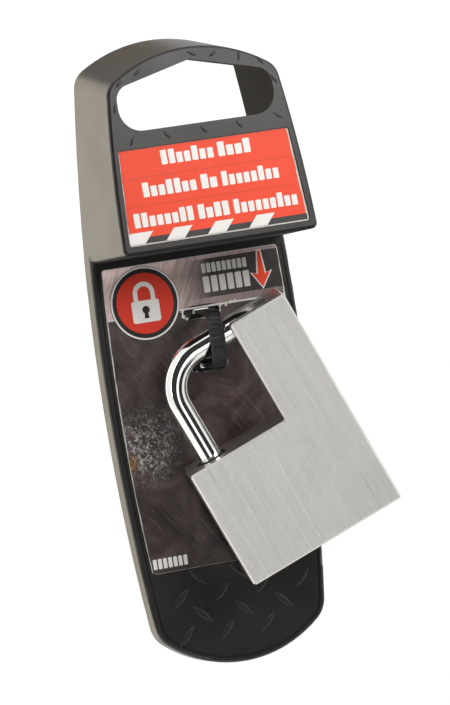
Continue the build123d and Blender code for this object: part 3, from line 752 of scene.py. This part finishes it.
def tread_mark(bm, place, u, v, angle, length, width, height):
    """A raised tread mark: pointed at both ends, with a rounded ridge."""
    direction = (math.cos(angle), math.sin(angle))
    rows = []
    for station in range(TREAD_STATIONS):
        place_along = -1 + 2 * station / (TREAD_STATIONS - 1)
        swell = max(0.03, 1 - place_along**2)
        half = width / 2 * swell
        crest = height * swell**0.6
        along = place_along * length / 2
        section = [(across, crest * rise) for across, rise in TREAD_SECTION]
        row = []
        for across, lift in [(-1, -TREAD_SUNK)] + section + [(1, -TREAD_SUNK)]:
            offset = across * half
            row.append(bm.verts.new(place(u + along * direction[0] - offset * direction[1],
                                          v + along * direction[1] + offset * direction[0], lift)))
        rows.append(row)
    for near, far in zip(rows, rows[1:]):
        for i in range(len(near)):
            j = (i + 1) % len(near)
            bm.faces.new((near[i], near[j], far[j], far[i]))
    bm.faces.new(rows[0])
    bm.faces.new(rows[-1])


def dress_tray_tread():
    """Staggered diamond-plate marks at the foot of the tray, clear of its rounded end."""
    bm = bmesh.new()
    for row in range(TREAD_COUNT):
        v = TREAD_TOP_V - TREAD_ROW_STEP * row
        rising = row % 2 == 1
        start = -35.4 if rising else -28.5
        for column in range(TREAD_COUNT):
            u = start + TREAD_COLUMN_STEP * column
            side = shell_high.x / MM - (v - WIDEST_Z) ** 2 / (2 * SIDE_RADIUS)
            end = shell_low.z / MM + FOOT_RADIUS - math.sqrt(max(1, FOOT_RADIUS**2 - u * u))
            if abs(u) > side - TREAD_SIDE_MARGIN or v < end + TREAD_FOOT_MARGIN:
                continue
            slant = math.radians(45 if rising else -45)
            tread_mark(bm, on_tread, u, v, slant, 9.0, 2.5, 0.34)
    add_piece("tray_tread", bm, tread_black, smooth=50)


def dress_opening_tread():
    """Small tread marks on the block's face round the hang opening."""
    bm = bmesh.new()
    for u, v, slant in OPENING_MARKS:
        tread_mark(bm, on_block, u, v, math.radians(slant), 3.6, 1.0, 0.3)
    add_piece("opening_tread", bm, tread_black, smooth=50)


# -------------------------------------------------------------------- cable tie
STRAP_WIDTH = 5.0
STRAP_THICK = 1.3
STRAP_HALF_HEIGHT = 9.6
STRAP_BEND = 6.5            # outer radius of the bends in front
STRAP_TIGHT_BEND = 1.6      # and of those behind the panel
STRAP_AHEAD = 6.57          # outer face of the strap ahead of the rod's axis
STRAP_CLEAR = 0.58          # inside the back of the tie's solid
STRAP_BEHIND = (tie_high.y - swing_point.y) / MM / math.cos(TIE_YAW) - STRAP_CLEAR
STRAP_STEP = 0.24           # between the strap's cross-sections
STRAP_ROUND = 0.25          # its rounded edges
RIDGE_PITCH = 2.0
RIDGE_DEPTH = 0.6
RIDGE_SLOPE = 0.75          # share of a ridge that deepens slowly; the rest is its steep side
STEEPNESS = RIDGE_SLOPE / (1 - RIDGE_SLOPE)
RIM_WIDTH = 0.75            # smooth rim on each side of the ridges
RIM_FOOT = 0.9
HEAD_WIDTH = 7.2            # the locking head
HEAD_HEIGHT = 6.4
HEAD_FRONT = -4.345         # just clear of the panel's back
HEAD_BACK = -0.445          # and short of the hanger's back rim
HEAD_SHIFT = 0.6            # its middle to the right of the slots'
HEAD_BEVEL = 0.8


def strap_path(step):
    """Outer line of the strap's loop, as evenly spaced points: behind the rod, and up (mm)."""
    corners = ((-STRAP_AHEAD, -1, STRAP_BEND, 180), (STRAP_BEHIND, -1, STRAP_TIGHT_BEND, 270),
               (STRAP_BEHIND, 1, STRAP_TIGHT_BEND, 0), (-STRAP_AHEAD, 1, STRAP_BEND, 90))
    line = []
    for x, side, radius, start in corners:
        cx = x + radius if x < 0 else x - radius
        cz = side * (STRAP_HALF_HEIGHT - radius)
        for turn in range(13):
            angle = math.radians(start + 90 * turn / 12)
            line.append(Vector((cx + radius * math.cos(angle), cz + radius * math.sin(angle))))
    points = []
    for here, there in zip(line, line[1:] + line[:1]):
        count = max(1, round((there - here).length / step))
        points += [here.lerp(there, i / count) for i in range(count)]
    return points


def strap_section(tooth):
    """The strap's cross-section: across, and depth below its outer face, where a ridge cuts in."""
    half = STRAP_WIDTH / 2
    rim = half - RIM_WIDTH
    foot = half - RIM_FOOT
    flat = half - STRAP_ROUND
    inner = STRAP_THICK - STRAP_ROUND
    return ((-half, STRAP_ROUND), (-flat, 0.0), (-rim, 0.0), (-foot, tooth), (foot, tooth), (rim, 0.0),
            (flat, 0.0), (half, STRAP_ROUND), (half, inner), (flat, STRAP_THICK), (-flat, STRAP_THICK),
            (-half, inner))


def build_strap():
    """Ridged strap, a closed loop round the shackle and through the panel."""
    outline = strap_path(STRAP_STEP)
    across = Vector((math.cos(TIE_YAW), -math.sin(TIE_YAW), 0))
    back = Vector((math.sin(TIE_YAW), math.cos(TIE_YAW), 0))
    up = Vector((0, 0, 1))
    bm = bmesh.new()
    rings = []
    travelled = 0.0
    for index, point in enumerate(outline):
        ahead = outline[(index + 1) % len(outline)]
        behind = outline[index - 1]
        travelled += (point - behind).length if index else 0
        tangent = (ahead - behind).normalized()
        inward = Vector((-tangent.y, tangent.x))
        phase = (travelled / RIDGE_PITCH) % 1
        tooth = RIDGE_DEPTH * (phase if phase < RIDGE_SLOPE else (1 - phase) * STEEPNESS)
        ring = []
        for side, depth in strap_section(tooth):
            spot = point + inward * depth
            ring.append(bm.verts.new(swing_point + across * (side * MM) + back * (spot.x * MM)
                                     + up * (spot.y * MM)))
        rings.append(ring)
    for near, far in zip(rings, rings[1:] + rings[:1]):
        for i in range(len(near)):
            j = (i + 1) % len(near)
            bm.faces.new((near[i], near[j], far[j], far[i]))
    tie = add_piece("tie_strap", bm, tie_nylon, smooth=35)
    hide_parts("cable_tie")


def build_tie_head():
    """The tie's locking head, a rounded block behind the panel."""
    bm = bmesh.new()
    bmesh.ops.create_cube(bm, size=1)
    size = Vector((HEAD_WIDTH, HEAD_BACK - HEAD_FRONT, HEAD_HEIGHT)) * MM
    bmesh.ops.scale(bm, vec=size, verts=bm.verts)
    bmesh.ops.bevel(bm, geom=bm.edges[:], offset=HEAD_BEVEL * MM, segments=3, profile=0.5, affect="EDGES")
    centre = Vector(((tie_slot_u() + HEAD_SHIFT) * MM, (HEAD_FRONT + HEAD_BACK) / 2 * MM, swing_point.z))
    bmesh.ops.translate(bm, vec=centre, verts=bm.verts)
    add_piece("tie_head", bm, tie_nylon, smooth=40)


dress_upper_label()
dress_lower_label()
dress_badge()
dress_words_and_arrow()
dress_tray_tread()
dress_opening_tread()
build_strap()
build_tie_head()

# ----------------------------------------------------------- camera, floor, light
CAMERA_TURN = math.radians(-22)
CAMERA_RISE = math.radians(2.4)
CAMERA_ROLL = math.radians(8.3)
CAMERA_AWAY = 1.6
VIEW_HEIGHT = 0.235         # what the picture's longer side takes in at the object
SENSOR = 36
CLOTH_SPREAD = 46           # half angle of the cloth about the camera, degrees
CLOTH_AWAY = 0.62
FLOOR_DROP = 0.35           # the floor lies this far under the hanger
FLOOR_REACH = 8
SURROUND = 1.07             # brightness of the surroundings
BLACK_CLOTH = (0.02, 0.02, 0.02)
BROWN_CLOTH = (0.27, 0.18, 0.1)
view_centre = Vector((0.00405, -0.015, -0.0981))


def heading(turn, rise):
    """Direction at a turn from the front, to the right, and a rise above level (radians)."""
    flat = math.cos(rise)
    return Vector((math.sin(turn) * flat, -math.cos(turn) * flat, math.sin(rise)))


def build_camera():
    """The camera, aimed at the middle of the view; returns the direction towards it."""
    toward = heading(CAMERA_TURN, CAMERA_RISE)
    level = Vector((math.cos(CAMERA_TURN), math.sin(CAMERA_TURN), 0))
    up = toward.cross(level)
    right = level * math.cos(CAMERA_ROLL) - up * math.sin(CAMERA_ROLL)
    up = toward.cross(right)
    data = bpy.data.cameras.new("camera")
    data.sensor_width = SENSOR
    data.lens = SENSOR * CAMERA_AWAY / VIEW_HEIGHT
    data.clip_start = 0.05
    data.clip_end = 20
    camera = bpy.data.objects.new("camera", data)
    basis = Matrix((right, up, toward)).transposed().to_4x4()
    camera.matrix_world = Matrix.Translation(view_centre + toward * CAMERA_AWAY) @ basis
    bpy.context.scene.collection.objects.link(camera)
    bpy.context.scene.camera = camera
    return toward


def area_light(name, direction, distance, size, radiance, color=(1, 1, 1)):
    """A softbox that faces the object from a direction; its glow is set as radiance."""
    data = bpy.data.lights.new(name, "AREA")
    data.shape = "RECTANGLE"
    data.size, data.size_y = size
    data.energy = radiance * math.pi * size[0] * size[1]
    data.color = color
    light = bpy.data.objects.new(name, data)
    light.location = view_centre + Vector(direction).normalized() * distance
    aim = (view_centre - light.location).to_track_quat("-Z", "Y")
    light.rotation_euler = aim.to_euler()
    light.visible_camera = False
    bpy.context.scene.collection.objects.link(light)


def stage_mesh(name, rows, color, roughness):
    """A smooth sheet through rows of points, for the stage."""
    bm = bmesh.new()
    grid = [[bm.verts.new(point) for point in row] for row in rows]
    for near, far in zip(grid, grid[1:]):
        for i in range(len(near) - 1):
            bm.faces.new((near[i], near[i + 1], far[i + 1], far[i]))
    mesh = bpy.data.meshes.new(name)
    bm.to_mesh(mesh)
    bm.free()
    sheet = bpy.data.objects.new(name, mesh)
    bpy.context.scene.collection.objects.link(sheet)
    for polygon in mesh.polygons:
        polygon.use_smooth = True
    mesh.materials.append(Shader(name, color, roughness).material)
    return sheet


def build_floor():
    """A wide pale floor under the object."""
    floor_z = shell_low.z - FLOOR_DROP
    rows = [[(x, y, floor_z) for x in (-FLOOR_REACH, FLOOR_REACH)] for y in (-FLOOR_REACH, FLOOR_REACH)]
    stage_mesh("studio_floor", rows, (0.96, 0.96, 0.955), 0.9)


def dark_cloth(name, rows, tone):
    """Dark cloth that shiny surfaces mirror; the camera looks through it."""
    cloth = stage_mesh(name, rows, tone, 0.95)
    cloth.visible_camera = False


def curved_cloth(name, turns, rises, centre, away, tone):
    """Cloth on part of a sphere about a centre; its turns and rises are in degrees."""
    rows = []
    for rise in rises:
        rows.append([centre + heading(math.radians(turn), math.radians(rise)) * away for turn in turns])
    dark_cloth(name, rows, tone)


def round_cloth(toward):
    """Cloth about the camera, as the dark stripe that the polished rod mirrors."""
    level = Vector((0, 0, 1)).cross(toward).normalized()
    up = toward.cross(level)
    rows = []
    for ring in range(9):
        spread = math.radians(CLOTH_SPREAD * ring / 8)
        row = []
        for step in range(33):
            turn = 2 * math.pi * step / 32
            side = (level * math.cos(turn) + up * math.sin(turn)) * math.sin(spread)
            row.append(view_centre + (toward * math.cos(spread) + side) * CLOTH_AWAY)
        rows.append(row)
    dark_cloth("round_flag", rows, BLACK_CLOTH)


def build_cloths(toward):
    """One about the camera, one low on the right of it, and a brown one behind the arch."""
    round_cloth(toward)
    curved_cloth("right_flag", range(14, 39, 4), range(-50, 9, 4), view_centre, CLOTH_AWAY + 0.02,
                 BLACK_CLOTH)
    peg_seat = Vector((0, 0, 0))
    curved_cloth("back_flag", (188, 180, 172, 164, 157), (12, 20, 28, 36), peg_seat, CLOTH_AWAY,
                 BROWN_CLOTH)


def build_world():
    """Even pale surroundings."""
    world = bpy.data.worlds.new("studio")
    bpy.context.scene.world = world
    world.use_nodes = True
    background = world.node_tree.nodes["Background"]
    background.inputs["Color"].default_value = (1.0, 1.0, 0.995, 1)
    background.inputs["Strength"].default_value = SURROUND


toward_camera = build_camera()
build_floor()
build_cloths(toward_camera)
build_world()
area_light("front_softbox", (-0.14, -0.955, -0.263), 0.58, (0.2, 0.32), 1.5)
area_light("left_back_softbox", (-0.5, 0.85, 0.05), 0.9, (0.9, 1.2), 1.5, (1.0, 0.84, 0.6))
area_light("right_high_softbox", (0.36, -0.8, 0.46), 0.58, (0.34, 0.2), 7.0, (1.0, 0.97, 0.94))
area_light("left_softbox", (-0.8, -0.55, 0.12), 0.7, (0.4, 0.6), 4.0, (1.0, 0.98, 0.96))
bpy.context.scene.view_settings.view_transform = "Standard"
